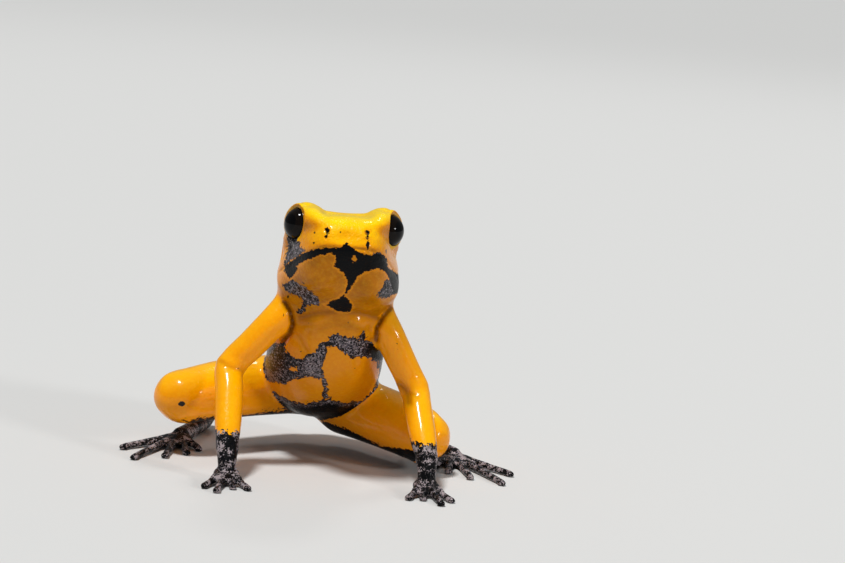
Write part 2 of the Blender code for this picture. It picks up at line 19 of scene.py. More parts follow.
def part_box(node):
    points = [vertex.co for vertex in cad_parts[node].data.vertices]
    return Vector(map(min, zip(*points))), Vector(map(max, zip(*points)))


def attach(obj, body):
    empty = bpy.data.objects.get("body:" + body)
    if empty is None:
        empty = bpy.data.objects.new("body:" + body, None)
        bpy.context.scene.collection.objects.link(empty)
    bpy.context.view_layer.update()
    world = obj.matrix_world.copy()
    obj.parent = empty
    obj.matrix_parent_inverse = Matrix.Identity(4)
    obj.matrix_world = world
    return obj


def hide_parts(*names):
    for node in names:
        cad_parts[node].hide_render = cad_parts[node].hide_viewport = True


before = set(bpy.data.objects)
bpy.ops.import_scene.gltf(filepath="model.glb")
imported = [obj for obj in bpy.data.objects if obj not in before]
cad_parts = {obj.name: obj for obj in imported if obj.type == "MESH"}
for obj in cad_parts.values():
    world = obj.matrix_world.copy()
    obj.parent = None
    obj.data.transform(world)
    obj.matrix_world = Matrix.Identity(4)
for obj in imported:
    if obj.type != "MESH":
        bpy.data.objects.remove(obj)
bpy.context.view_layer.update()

MM = 0.001
SIDES = {"right": -1, "left": 1}
FLESH = [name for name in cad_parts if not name.startswith("eye")]

# The camera: where it stands round the frog, its tilt, and the scale of its picture.
WIDTH = 845
HEIGHT = 563
AZIMUTH = math.radians(-7)
ELEVATION = math.radians(8)
TILT = math.radians(-5)
LENS = 100
SENSOR = 36
NEAREST = 0.01
FURTHEST = 200
POINTS_PER_MM = 7.8
# The solids were moved by this much to bring the middle of their box to the origin.
SHIFT = Vector((0.0585, -4.9631, 0.0))
# A spot on the ground in front, and where it falls in the picture.
GROUND_SPOT = Vector((0.0, -10.0, 0.0))
GROUND_SIDE = -0.7
GROUND_DROP = 145
FROG_MIDDLE = Vector((0.0, 2.0, 15.0))
PICTURE_OFFSET = (84.5, -58.5)
# The camera's own directions: straight back, level and upright, then right and up with its tilt.
CAMERA_BACK = Vector(
    (
        math.sin(AZIMUTH) * math.cos(ELEVATION),
        -math.cos(AZIMUTH) * math.cos(ELEVATION),
        math.sin(ELEVATION),
    )
)
LEVEL = Vector((math.cos(AZIMUTH), math.sin(AZIMUTH), 0))
UPRIGHT = CAMERA_BACK.cross(LEVEL)
CAMERA_RIGHT = LEVEL * math.cos(TILT) - UPRIGHT * math.sin(TILT)
CAMERA_UP = LEVEL * math.sin(TILT) + UPRIGHT * math.cos(TILT)

# The head's own axes: the middle of the lips, and how far the mouth slopes down to the back.
LIP = Vector((0.35, -9.0, 30.9)) + SHIFT
HEAD_PITCH = math.radians(26)
HEAD_TURN = Matrix.Rotation(-HEAD_PITCH, 3, "X")
# Eyes, brows and ears, each set back, up and to the side of the lips.
EYE_BACK = 7.4
EYE_UP = 4.7
EYE_SIDE = 5.35
EYE_RADIUS = 2.25
EYE_SWELL = 0.02
BROW_UP = 4.9
BROW_SIDE = 4.9
BROW_RADIUS = 2.72
EAR_BACK = 11.6
EAR_UP = 2.5
EAR_SIDE = 7.3
EAR_RADIUS = 1.15
# The opening between the lids, seen from the middle of the eyeball: half its length and height.
LID_LONG = math.radians(53)
LID_HIGH = math.radians(63)
LID_TURN = math.radians(37)
LID_ROLL = math.radians(-5)
LID_SLACK = 0.03
FUNNEL_REACH = 3.0
# Balls and funnels are made along +Z and laid along the eye's own line of sight with this.
LAY = Matrix.Rotation(-math.pi / 2, 4, "X")
BALL_SEGMENTS = 96
BALL_RINGS = 48
# The plane of the neck, and the lowest and furthest back that the mouth runs.
NECK_FRONT = Vector((0.0, -3.6, 20.9)) + SHIFT
NECK_BACK = Vector((0.0, 9.2, 29.4)) + SHIFT
MOUTH_UP = -0.45
MOUTH_BACK = 11.6
# The right knee is drawn out sideways by this much, fading over the reach.
RIGHT_KNEE = Vector((-19.4, 6.6, 7.4)) + SHIFT
KNEE_STRETCH = 0.8
KNEE_REACH = 4.5

# The one skin: its grain, how gaps between members are bridged, and rounds of smoothing.
VOXEL = 0.27
GAP_REACH = 0.5
GAP_SWELL = 0.3
MEMBER_REACH = 2.0
ALL_OVER_ROUNDS = 8
JOINT_ROUNDS = 18
NAPE_ROUNDS = 45
HEAD_ROUNDS = 3
CREASE_ANGLE = math.radians(50)

# Ridges and grooves of the face: depth or rise, half width, and distance from an edge.
MOUTH_DEPTH = 0.1
MOUTH_WIDTH = 0.16
LID_DEPTH = 0.1
LID_WIDTH = 0.2
LID_RIDGE = 0.12
LID_GROOVE = 0.62
EAR_DEPTH = 0.13
EAR_WIDTH = 0.2
EAR_DIP = 0.05
EAR_RIDGE = 0.42
EAR_RIDGE_WIDTH = 0.25
# The nostrils' depth and rise in millimetres, their widths and rim in picture points.
NOSTRIL_DEPTH = 0.3
NOSTRIL_WIDTH = 1.6
NOSTRIL_RISE = 0.04
NOSTRIL_RIM = 4.2
NOSTRIL_RIM_WIDTH = 2.2
# Nothing seen from the front lies further back than this.
FRONT_END = 6

# The depth that is written where a marking can't be.
NOWHERE = -5.0
# How far round a form's edge a marking runs, and how sharply it stops there.
EDGE_SLACK = 0.12
EDGE_GAIN = 3.0
# The belly's black band has a mottled border of this width.
BAND_BORDER = 0.6
# Gloves and socks are black up to these heights.
GLOVE_HEIGHT = 6.1
SOCK_HEIGHT = 2.8
# How much wider than a crease its painted shade is.
FOLD_SHADE = 1.4
# How nearly straight down black undersides face on thighs and belly.
THIGH_UNDER = 0.78
BELLY_UNDER = 0.93

FLOOR_SIZE = 60

# Noises in the skin: the size of their lumps in millimetres, detail and twist.
SKIN_NOISES = {
    "broad": (9.0, 2.0, 0.0),
    "patchy": (2.2, 3.0, 0.0),
    "fine": (0.45, 3.0, 0.0),
    "ragged": (0.42, 3.0, 0.4),
    "swells": (0.6, 3.0, 0.0),
    "net": (0.9, 3.0, 0.8),
    "lace": (0.36, 2.0, 1.0),
    "chalk": (1.0, 3.0, 0.0),
}
GRAIN_SIZE = 0.30
GRANULE_SIZE = 0.23
PEARL_SIZE = 0.19
# Heights where the crown's yellow and its rougher skin begin.
CREST_HEIGHT = 24.0
CROWN_HEIGHT = 28.0


def tint(red, green, blue):
    """A colour from its everyday 0 to 255 values."""
    linear = []
    for value in (red, green, blue):
        value = value / 255
        linear.append(value / 12.92 if value <= 0.04045 else ((value + 0.055) / 1.055) ** 2.4)
    return (*linear, 1)


# The yellow of the crown, and of painted light on skin that faces up.
GOLD = tint(255, 218, 0)
ORANGE = tint(255, 158, 0)
DEEP_ORANGE = tint(236, 140, 0)
# Painted shade on skin that faces down and forward.
SHADE_AMBER = tint(163, 96, 0)
SUNLIT = tint(255, 205, 40)
# Painted shade along the creases, and its darker core.
CREASE_SHADE_BROWN = tint(146, 80, 0)
CREASE_SHADE_DARK = tint(70, 34, 4)
LID_PALE = tint(236, 190, 96)
DARK_GRANULE = tint(84, 77, 84)
PALE_GRANULE = tint(166, 154, 158)
GRANULE_BED = tint(20, 19, 22)
INK = tint(8, 9, 11)
PEARL = tint(158, 146, 148)
SPECK = tint(24, 18, 12)
EYE_BLACK = tint(4, 4, 5)
IRIS_DARK = tint(10, 8, 7)
IRIS_BROWN = tint(26, 18, 12)
FLOOR_PALE = tint(210, 210, 208)

# Outlines of the markings, in picture points.
MOUTH_BAND = [
    (284, 266), (291, 261), (297, 257), (304, 252.5), (316, 248.5), (330, 247.5), (340, 247.5),
    (346.7, 242.6), (352, 247.5), (358.5, 252), (369.5, 255.6), (376, 253), (383.5, 255),
    (387, 260.5), (389, 268), (395.5, 272.5), (402, 276), (401, 285), (394, 296), (391, 284),
    (386, 273), (377, 268.5), (364, 272.5), (357.6, 276.7), (352, 286), (345, 295), (353, 306),
    (349, 312), (338, 311.5), (325, 304.4), (339.5, 297.5), (344.5, 293), (348, 282),
    (343.5, 273), (333.7, 266), (336.5, 259.5), (335, 255), (330.5, 253), (320.7, 255),
    (312, 258.5), (303.4, 261.5), (297.4, 266), (297, 272.4), (289.3, 279.4), (284, 271),
]
EYE_PATCH = [
    (287.5, 235), (297, 237.5), (301, 246), (306.5, 250.5), (297, 257), (284.5, 265),
    (286.5, 250),
]
LIP_PATCH = [(373, 251.5), (381, 253), (387, 258), (387.5, 262.5), (380, 258.5), (373, 255)]
RIGHT_JAW = [
    (283, 285.5), (292.5, 279), (306.6, 287.5), (319.6, 298.5), (319.6, 306), (306.5, 305),
    (301, 316), (298, 312.5), (305, 300.5), (287, 292),
]
LEFT_JAW = [
    (390, 279), (399, 281), (400, 291), (389, 298), (381, 298), (376, 296.5), (381.5, 289),
    (384, 281),
]
BELLY_MOTTLE = [
    (271.5, 344), (284.5, 342), (286.3, 352), (296, 358.5), (302.5, 359.3), (308, 354.5),
    (316.5, 351), (318.5, 344), (328, 339.5), (330, 336), (338, 333.5), (343, 337), (359, 338),
    (363, 329.5), (366, 333), (366.3, 341), (372, 341.5), (378.5, 345), (386, 352), (386, 362),
    (375, 362), (371, 358), (360, 357.5), (349.5, 357), (343, 352), (336, 347), (326.4, 346.4),
    (326, 358), (321.5, 368), (326, 378.5), (327.8, 388), (329, 398.5), (322.5, 398),
    (322.5, 386), (321, 379), (311, 376.5), (299, 378.5), (288, 382), (284, 386), (276, 383),
    (262, 380), (260, 360), (264, 346),
]
BELLY_ISLAND = [(290.5, 366), (297, 366.5), (297, 371), (291, 371.5)]
BELLY_BLOB = [(366.6, 343), (378, 345), (386, 352), (384, 361), (372, 358)]
BELLY_BAND = [
    (272, 390), (282, 396), (290, 401), (305, 403.5), (323, 400), (330, 398.5), (345, 402.5),
    (362, 400), (372, 392), (378, 380), (381, 372), (394, 372), (392, 392), (380, 412),
    (356, 428), (330, 434), (300, 430), (276, 418),
]
BELLY_EDGE = [(377, 360), (384, 358), (386, 376), (376, 385), (379, 372)]
THIGH_BAND = [
    (322, 421), (345, 428), (362, 436), (380, 446), (405, 449), (425, 451), (425, 462),
    (380, 462), (340, 450), (322, 436),
]
# The dark blotches round the nostrils.
RIGHT_NOSTRIL_BLOTCH = [
    (324.6, 228.6), (327.5, 227.6), (330.2, 228.8), (329.6, 232.5), (328.4, 235.0),
    (327.8, 238.4), (325.6, 239.2), (325.0, 236.0), (326.0, 232.6),
]
LEFT_NOSTRIL_BLOTCH = [
    (364.4, 230.4), (367.0, 229.6), (370.2, 231.6), (369.4, 235.4), (368.2, 238.0),
    (369.4, 244.0), (369.0, 250.0), (366.8, 250.4), (366.4, 245.0), (367.0, 240.0),
    (365.6, 237.4), (366.4, 233.6),
]
NOSTRILS = [(327.4, 231.2), (367.3, 233.4)]
# Small spots: across, down, half width, half height.
SPOTS = [
    (314.4, 232.4, 1.2, 1.7), (313.7, 243.1, 1.5, 1.2), (340.4, 232.3, 0.8, 1.2),
    (386.0, 251.4, 1.1, 2.2), (362.2, 218.0, 0.45, 1.9), (396.8, 343.4, 0.9, 0.9),
    (398.0, 349.0, 0.7, 1.0), (418.8, 389.3, 0.8, 1.1), (283.3, 315.5, 0.8, 2.6),
    (238.4, 368.8, 1.0, 0.9), (218.3, 372.9, 0.9, 0.9), (308.5, 323.3, 0.9, 1.0),
    (348.0, 322.6, 0.8, 1.1), (381.7, 315.0, 0.9, 0.9), (300.7, 351.4, 1.0, 0.8),
    (355.0, 368.3, 0.9, 0.8), (358.0, 282.0, 0.9, 0.9), (288.0, 296.8, 1.2, 1.6),
    (282.0, 302.8, 0.9, 1.2), (181.7, 403.6, 3.6, 2.8), (329.0, 222.0, 0.7, 0.7),
]
YELLOW_DOT = (354.2, 259.4, 2.1, 3.3)
# Soft swellings: across, down and reach in picture points, then rise in millimetres.
# They are a little lower than wide.
LOBE_FLATTENING = 1.15
LOBES = [
    (318, 280, 15, 1.0), (371, 290, 13, 0.9), (315, 324, 10, 0.55), (357, 325, 10, 0.55),
    (352, 375, 18, 0.2), (345, 238, 9, -0.15), (329, 222, 6, 0.12), (367, 224, 6, 0.12),
]
# Creases pressed into the skin: depth and half width in millimetres, then picture points.
CREASES = [
    (0.34, 0.5, [(300, 318), (318, 314), (339, 312), (360, 314), (378, 319)]),
    (0.55, 0.29, [(284, 302), (290, 312), (293, 325), (290, 334), (283, 341)]),
    (0.55, 0.29, [(391, 308), (384, 316), (376.5, 328), (376, 340)]),
    (0.16, 0.35, [(292, 331), (301, 340), (306, 350)]),
    (0.16, 0.35, [(376, 333), (370, 341), (366, 349)]),
    (0.35, 0.35, [(399, 384), (405, 389), (408, 395), (408.5, 403)]),
    (0.15, 0.35, [(408, 393), (417, 396)]),
    (0.14, 0.30, [(220, 362), (230, 368), (243, 371)]),
    (0.12, 0.30, [(318, 330), (338, 326), (356, 329)]),
]


def outline_depth(points, outline):
    """How far each point lies inside the outline, in picture points; below nothing outside it."""
    corners = np.array(outline, float)
    best = np.full(len(points), np.inf)
    inside = np.zeros(len(points), bool)
    for i in range(len(corners)):
        a, b = corners[i - 1], corners[i]
        best = np.minimum(best, stretch_distance(points, a, b))
        crosses = (a[1] > points[:, 1]) != (b[1] > points[:, 1])
        rise = b[1] - a[1] or 1e-9
        meets = a[0] + (points[:, 1] - a[1]) * (b[0] - a[0]) / rise
        inside ^= crosses & (points[:, 0] < meets)
    return np.where(inside, best, -best)


def stretch_distance(points, a, b):
    """The distance of each point from the straight stretch between a and b."""
    along = b - a
    share = np.clip((points - a) @ along / (along @ along), 0, 1)
    return np.linalg.norm(points - a - share[:, None] * along, axis=1)


def crease_distance(points, stops):
    """How far each point lies from the line through these stops, in millimetres."""
    stops = np.array(stops, float)
    reach = [stretch_distance(points, a, b) for a, b in zip(stops, stops[1:])]
    return np.min(reach, axis=0) / POINTS_PER_MM


def spot_depth(points, spot):
    """How far each point lies inside an oval spot, in picture points."""
    across, down, wide, high = spot
    reach = np.hypot((points[:, 0] - across) / wide, (points[:, 1] - down) / high)
    return (1 - reach) * min(wide, high)


def ramp(values, low, high):
    """Rises straight from 0 at low to 1 at high."""
    return np.clip((values - low) / (high - low), 0, 1)


def hill(reach, width):
    """1 where the reach is nothing, falling softly away over the width."""
    return np.exp(-((reach / width) ** 2))


def distance_from(places, spot):
    return np.linalg.norm(places - np.array(spot), axis=1)


def camera_place():
    """Where the camera stands, in millimetres."""
    spot = GROUND_SPOT + LEVEL * (-GROUND_SIDE - GROUND_SPOT.dot(LEVEL))
    spot += UPRIGHT * (GROUND_DROP / POINTS_PER_MM)
    spot -= CAMERA_BACK * (spot - FROG_MIDDLE).dot(CAMERA_BACK)
    across, down = PICTURE_OFFSET
    centre = spot + (CAMERA_RIGHT * across - CAMERA_UP * down) / POINTS_PER_MM
    return centre + SHIFT + CAMERA_BACK * (WIDTH / POINTS_PER_MM * LENS / SENSOR)


def place_camera():
    data = bpy.data.cameras.new("camera")
    data.lens = LENS
    data.sensor_width = SENSOR
    data.clip_start = NEAREST
    data.clip_end = FURTHEST
    camera = bpy.data.objects.new("camera", data)
    bpy.context.scene.collection.objects.link(camera)
    turn = Matrix((CAMERA_RIGHT, CAMERA_UP, CAMERA_BACK)).transposed().to_4x4()
    camera.matrix_world = Matrix.Translation(camera_place() * MM) @ turn
    bpy.context.scene.camera = camera


def picture_points(places):
    """Where these places, rows in millimetres, fall in the picture."""
    ray = places - np.array(camera_place())
    depth = -(ray @ np.array(CAMERA_BACK))
    scale = LENS / SENSOR * WIDTH / depth
    across = WIDTH / 2 + (ray @ np.array(CAMERA_RIGHT)) * scale
    down = HEIGHT / 2 - (ray @ np.array(CAMERA_UP)) * scale
    return np.stack([across, down], axis=1)


def head_point(back, up, side):
    return LIP + HEAD_TURN @ Vector((side, back, up))


def eye_centre(side):
    return head_point(EYE_BACK, EYE_UP, side * EYE_SIDE)


def brow_centre(side):
    """The middle of the skin over one eye, which lies higher and deeper than the eyeball."""
    return head_point(EYE_BACK, BROW_UP, side * BROW_SIDE)


def ear_centre(side):
    return head_point(EAR_BACK, EAR_UP, side * EAR_SIDE)


def head_axes(places):
    """Back, up and side of each place along the head's own axes."""
    turned = (places - np.array(LIP)) @ np.array(HEAD_TURN)
    return turned[:, 1], turned[:, 2], turned[:, 0]


def above_neck(places):
    """How far each place lies above the plane of the neck, on the head's side."""
    normal = (NECK_BACK - NECK_FRONT).cross(Vector((-1, 0, 0))).normalized()
    return (places - np.array(NECK_FRONT)) @ np.array(normal)


def lid_turn(side):
    """The plane of one eye's opening: local +Y points out of the head."""
    out = Matrix.Rotation(side * (math.pi / -2 - LID_TURN), 3, "Z")
    return HEAD_TURN @ out @ Matrix.Rotation(LID_ROLL, 3, "X")


def lid_distance(places, side):
    """How far each place lies outside the edge of one eye's lids, and how far from the eyeball."""
    local = (places - np.array(eye_centre(side))) @ np.array(lid_turn(side))
    distance = np.linalg.norm(local, axis=1)
    opening = np.arccos(np.clip(local[:, 1] / distance, -1, 1))
    heading = np.arctan2(local[:, 2] / LID_HIGH, local[:, 0] / LID_LONG)
    edge = np.hypot(LID_LONG * np.cos(heading), LID_HIGH * np.sin(heading))
    return (opening - edge) * EYE_RADIUS, distance - EYE_RADIUS


def select_only(obj):
    bpy.ops.object.select_all(action="DESELECT")
    obj.select_set(True)
    bpy.context.view_layer.objects.active = obj


def apply_modifier(obj, modifier):
    select_only(obj)
    bpy.ops.object.modifier_apply(modifier=modifier.name)


def places_of(obj):
    """The obj's points, in millimetres, one to a row."""
    flat = np.empty(len(obj.data.vertices) * 3)
    obj.data.vertices.foreach_get("co", flat)
    return flat.reshape(-1, 3) / MM


def normals_of(obj):
    flat = np.empty(len(obj.data.vertices) * 3)
    obj.data.vertices.foreach_get("normal", flat)
    return flat.reshape(-1, 3)


def set_places(obj, places):
    obj.data.vertices.foreach_set("co", (places * MM).ravel())
    obj.data.update()


def write_numbers(obj, name, values):
    """Writes a number on each point of the piece, for the shader to read."""
    layer = obj.data.attributes.new(name, "FLOAT", "POINT")
    layer.data.foreach_set("value", values.astype(np.float32))


def node_trees():
    """A search tree for each member of the body, in millimetres."""
    trees = {}
    for name in FLESH:
        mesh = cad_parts[name].data
        points = [vertex.co / MM for vertex in mesh.vertices]
        trees[name] = BVHTree.FromPolygons(points, [tuple(p.vertices) for p in mesh.polygons])
    return trees


def joined_flesh(trees):
    """All members in one mesh, swollen where two of them face each other over a gap."""
    whole = bmesh.new()
    for name in FLESH:
        form = bmesh.new()
        form.from_mesh(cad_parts[name].data)
        bmesh.ops.remove_doubles(form, verts=form.verts, dist=MM / 1000)
        form.normal_update()
        others = [tree for other, tree in trees.items() if other != name]
        moves = []
        for vertex in form.verts:
            place = vertex.co / MM
            if any(tree.find_nearest(place, GAP_REACH)[0] is not None for tree in others):
                moves.append((vertex, vertex.normal * GAP_SWELL * MM))
        for vertex, move in moves:
            vertex.co += move
        mesh = bpy.data.meshes.new(name)
        form.to_mesh(mesh)
        form.free()
        whole.from_mesh(mesh)
        bpy.data.meshes.remove(mesh)
    for side in SIDES.values():
        place = Matrix.Translation(brow_centre(side) * MM)
        bmesh.ops.create_icosphere(whole, subdivisions=4, radius=BROW_RADIUS * MM, matrix=place)
    mesh = bpy.data.meshes.new("skin")
    whole.to_mesh(mesh)
    whole.free()
    obj = bpy.data.objects.new("skin", mesh)
    bpy.context.scene.collection.objects.link(obj)
    return obj


def keep_largest(obj):
    """Drops every closed surface but the largest, such as what is left inside a gap."""
    form = bmesh.new()
    form.from_mesh(obj.data)
    unseen = set(form.verts)
    groups = []
    while unseen:
        start = unseen.pop()
        group = {start}
        queue = [start]
        while queue:
            for edge in queue.pop().link_edges:
                for vertex in edge.verts:
                    if vertex in unseen:
                        unseen.discard(vertex)
                        group.add(vertex)
                        queue.append(vertex)
        groups.append(group)
    groups.sort(key=len)
    for group in groups[:-1]:
        bmesh.ops.delete(form, geom=list(group), context="VERTS")
    form.to_mesh(obj.data)
    form.free()


def smoothed(obj, weights, rounds):
    """Evens the skin out, as much as the weight of each point says."""
    group = obj.vertex_groups.new(name="soft")
    for index, weight in enumerate(weights):
        if weight > 0.01:
            group.add([index], float(weight), "REPLACE")
    modifier = obj.modifiers.new("soften", "SMOOTH")
    modifier.factor = 0.5
    modifier.iterations = rounds
    modifier.vertex_group = group.name
    apply_modifier(obj, modifier)
    obj.vertex_groups.clear()


def member_of(places, trees):
    """The nearest member to each place, and how near the next one is."""
    names = list(trees)
    gaps = np.full((len(places), len(names)), MEMBER_REACH)
    for j, name in enumerate(names):
        low, high = (np.array(corner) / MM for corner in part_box(name))
        above = places > low - MEMBER_REACH
        near = np.all(above & (places < high + MEMBER_REACH), axis=1)
        tree = trees[name]
        for i in np.nonzero(near)[0]:
            gap = tree.find_nearest(Vector(places[i]), MEMBER_REACH)[3]
            if gap is not None:
                gaps[i, j] = gap
    order = np.argsort(gaps, axis=1)
    rows = np.arange(len(places))
    return np.array(names)[order[:, 0]], gaps[rows, order[:, 1]]


def refine_head(obj):
    """Splits the faces round the lids, the lips, the nostrils and the ears in four."""
    form = bmesh.new()
    form.from_mesh(obj.data)
    places = np.array([vertex.co for vertex in form.verts]) / MM
    back, up, _ = head_axes(places)
    fine = (np.abs(up - MOUTH_UP) < 0.8) & (back < MOUTH_BACK + 1)
    for side in SIDES.values():
        fine |= distance_from(places, eye_centre(side)) < EYE_RADIUS + 1.15
        fine |= distance_from(places, ear_centre(side)) < EAR_RADIUS + 1
    points = picture_points(places)
    for nostril in NOSTRILS:
        fine |= (distance_from(points, nostril) < 8) & (back < 5)
    fine &= above_neck(places) > 0.6
    form.verts.index_update()
    edges = [edge for edge in form.edges if all(fine[v.index] for v in edge.verts)]
    bmesh.ops.subdivide_edges(form, edges=edges, cuts=1, smooth=0.0, use_grid_fill=True)
    form.to_mesh(obj.data)
    form.free()


def face_relief(places):
    """How deep the line of the mouth, the lids' rims and the eardrums lie in the head."""
    back, up, side = head_axes(places)
    depth = ramp(MOUTH_BACK - back, -0.3, 0.9) * MOUTH_DEPTH * hill(up - MOUTH_UP, MOUTH_WIDTH)
    for sign in SIDES.values():
        rim, out = lid_distance(places, sign)
        near = LID_DEPTH * ramp(1.6 - out, 0.0, 0.6)
        depth -= near * hill(rim - LID_RIDGE, LID_WIDTH)
        depth += near * hill(rim - LID_GROOVE, LID_WIDTH)
        reach = distance_from(places, ear_centre(sign)) - EAR_RADIUS
        drum = EAR_DEPTH * hill(reach, EAR_WIDTH)
        drum += EAR_DIP * ramp(-reach, 0.0, 0.3)
        drum -= EAR_DIP * hill(reach - EAR_RIDGE, EAR_RIDGE_WIDTH)
        depth += drum * (side * sign > 5)
    return depth


def nostril_relief(points):
    """How deep the two nostrils lie, with the low swelling round each of them."""
    depth = np.zeros(len(points))
    for nostril in NOSTRILS:
        reach = distance_from(points, nostril)
        depth += NOSTRIL_DEPTH * hill(reach, NOSTRIL_WIDTH)
        depth -= NOSTRIL_RISE * hill(reach - NOSTRIL_RIM, NOSTRIL_RIM_WIDTH)
    return depth


def fold_relief(points):
    """How deep the creases lie between the soft swellings of throat, chest and belly."""
    depth = np.zeros(len(points))
    for across, down, size, rise in LOBES:
        reach = np.hypot(points[:, 0] - across, (points[:, 1] - down) * LOBE_FLATTENING)
        depth -= rise * hill(reach, size)
    for crease_depth, half_width, stops in CREASES:
        depth += crease_depth * hill(crease_distance(points, stops), half_width)
    return depth


def press_features(obj):
    """Presses the face, the folds and the nostrils into the skin, and draws out the right knee."""
    places = places_of(obj)
    normals = normals_of(obj)
    points = picture_points(places)
    facing = ramp(normals @ np.array(CAMERA_BACK), 0.0, 0.3)
    on_head = above_neck(places) > 0
    depth = on_head * face_relief(places)
    depth += facing * (places[:, 1] < FRONT_END) * fold_relief(points)
    depth += on_head * facing * nostril_relief(points)
    stretch = KNEE_STRETCH * hill(distance_from(places, RIGHT_KNEE), KNEE_REACH)
    places = places - normals * depth[:, None]
    places[:, 0] -= stretch * ramp(RIGHT_KNEE.x - places[:, 0], -3.0, 1.0)
    places[:, 2] = np.maximum(places[:, 2], 0.0)
    set_places(obj, places)


def cut_away(obj, cutter):
    modifier = obj.modifiers.new("cut", "BOOLEAN")
    modifier.operation = "DIFFERENCE"
    modifier.solver = "MANIFOLD"
    modifier.object = cutter
    apply_modifier(obj, modifier)
    bpy.data.objects.remove(cutter, do_unlink=True)


def add_ball(radius, centre):
    bpy.ops.object.select_all(action="DESELECT")
    bpy.ops.mesh.primitive_uv_sphere_add(
        segments=BALL_SEGMENTS, ring_count=BALL_RINGS, radius=radius * MM, location=centre * MM
    )
    return bpy.context.object


def add_funnel(side):
    """An oval funnel that opens out of the head from the middle of one eye."""
    bpy.ops.object.select_all(action="DESELECT")
    bpy.ops.mesh.primitive_cylinder_add(vertices=BALL_SEGMENTS, radius=1, depth=1)
    funnel = bpy.context.object
    for vertex in funnel.data.vertices:
        reach = FUNNEL_REACH if vertex.co.z > 0 else FUNNEL_REACH / 50
        vertex.co.x *= math.tan(LID_LONG) * reach
        vertex.co.y *= math.tan(LID_HIGH) * reach
        vertex.co.z = reach
    place = Matrix.Translation(eye_centre(side) * MM) @ lid_turn(side).to_4x4() @ LAY
    funnel.data.transform(place @ Matrix.Diagonal((MM, MM, MM, 1)))
    return funnel


def open_lids(obj):
    """A round socket behind each eye and an oval funnel in front of it, narrow at the eye."""
    for side in SIDES.values():
        cut_away(obj, add_ball(EYE_RADIUS + LID_SLACK, eye_centre(side)))
        cut_away(obj, add_funnel(side))


def laid(points, facing, outlines, where):
    """How deep each point lies inside any of the outlines, in millimetres, on the facing side."""
    depth = np.full(len(points), NOWHERE)
    for outline in outlines:
        depth = np.maximum(depth, outline_depth(points, outline) / POINTS_PER_MM)
    return np.where(where, np.minimum(depth, facing), NOWHERE)


def laid_markings(places, points, facing, members):
    """How deep each point lies inside the black, the mottled and the spotted places."""
    trunk = np.isin(members, ["head", "torso"])
    blotches = [RIGHT_NOSTRIL_BLOTCH, LEFT_NOSTRIL_BLOTCH]
    patches = [EYE_PATCH, LIP_PATCH, RIGHT_JAW, LEFT_JAW, BELLY_MOTTLE, BELLY_EDGE]
    band = laid(points, facing, [BELLY_BAND], trunk)
    black = laid(points, facing, [MOUTH_BAND, BELLY_BLOB, *blotches], trunk)
    black = np.maximum(black, band - BAND_BORDER)
    black = np.minimum(black, -spot_depth(points, YELLOW_DOT) / POINTS_PER_MM)
    thigh_band = laid(points, facing, [THIGH_BAND], members == "thigh_left")
    black = np.maximum(black, thigh_band)
    mottle = laid(points, facing, patches, trunk)
    mottle = np.minimum(mottle, -outline_depth(points, BELLY_ISLAND) / POINTS_PER_MM)
    mottle = np.maximum(mottle, band)
    spots = np.full(len(points), NOWHERE)
    for spot in SPOTS:
        spots = np.maximum(spots, spot_depth(points, spot) / POINTS_PER_MM)
    spots = np.where(places[:, 1] < FRONT_END, np.minimum(spots, facing), NOWHERE)
    return {"black": black, "mottle": mottle, "spots": spots}


def limb_markings(places, normals, members):
    """Gloves and socks, and the black of the undersides."""
    height = places[:, 2]
    down = -normals[:, 2]
    glove = np.full(len(places), NOWHERE)
    arms = np.isin(members, ["hand_right", "hand_left", "forearm_right", "forearm_left"])
    glove = np.where(arms, GLOVE_HEIGHT - height, glove)
    glove = np.where(np.isin(members, ["foot_right", "foot_left"]), 2.0, glove)
    shanks = np.isin(members, ["shank_right", "shank_left"])
    glove = np.where(shanks, SOCK_HEIGHT - height, glove)
    thighs = np.isin(members, ["thigh_left", "thigh_right"])
    under = np.where(thighs, down - THIGH_UNDER, NOWHERE)
    under = np.where(members == "torso", down - BELLY_UNDER, under)
    return {"glove": glove, "under": under}


def shades(places, normals, points, facing, members):
    """Painted shade below the head, painted light in yellow on what faces up, painted shade along
    the folds, and pale lids.
    """
    # Painted shade: head and trunk facing down and forward, less of it low on the belly.
    shaded_underside = ramp(0.45 - normals[:, 2], 0.0, 0.8) * np.isin(members, ["head", "torso"])
    shaded_underside *= 1 - 0.6 * ramp(21 - places[:, 2], 0.0, 4.0)
    shaded_underside *= ramp(-normals[:, 1], -0.3, 0.4)
    # Painted light: how nearly the skin faces up.
    raised = ramp(normals[:, 2], 0.15, 0.9)
    # Painted shade along each crease, on skin that faces the front.
    folds = np.zeros(len(points))
    for crease_depth, half_width, stops in CREASES:
        reach = crease_distance(points, stops)
        folds = np.maximum(folds, crease_depth * hill(reach, FOLD_SHADE * half_width))
    folds *= ramp(facing, 0.0, 1.0) * (places[:, 1] < FRONT_END)
    rims = [lid_distance(places, side) for side in SIDES.values()]
    lid = np.maximum(*[np.minimum(0.25 - np.abs(rim - 0.05), 0.45 - out) for rim, out in rims])
    return {"shaded_underside": shaded_underside, "raised": raised, "folds": folds, "lid": lid}


def mark_skin(obj, trees):
    """Writes on each point of the skin how deep it lies inside each kind of marking, and how much
    painted shade and painted light it takes.
    """
    places = places_of(obj)
    normals = normals_of(obj)
    points = picture_points(places)
    members, _ = member_of(places, trees)
    facing = (normals @ np.array(CAMERA_BACK) + EDGE_SLACK) * EDGE_GAIN
    numbers = laid_markings(places, points, facing, members)
    numbers.update(limb_markings(places, normals, members))
    numbers.update(shades(places, normals, points, facing, members))
    for name, values in numbers.items():
        write_numbers(obj, name, values)


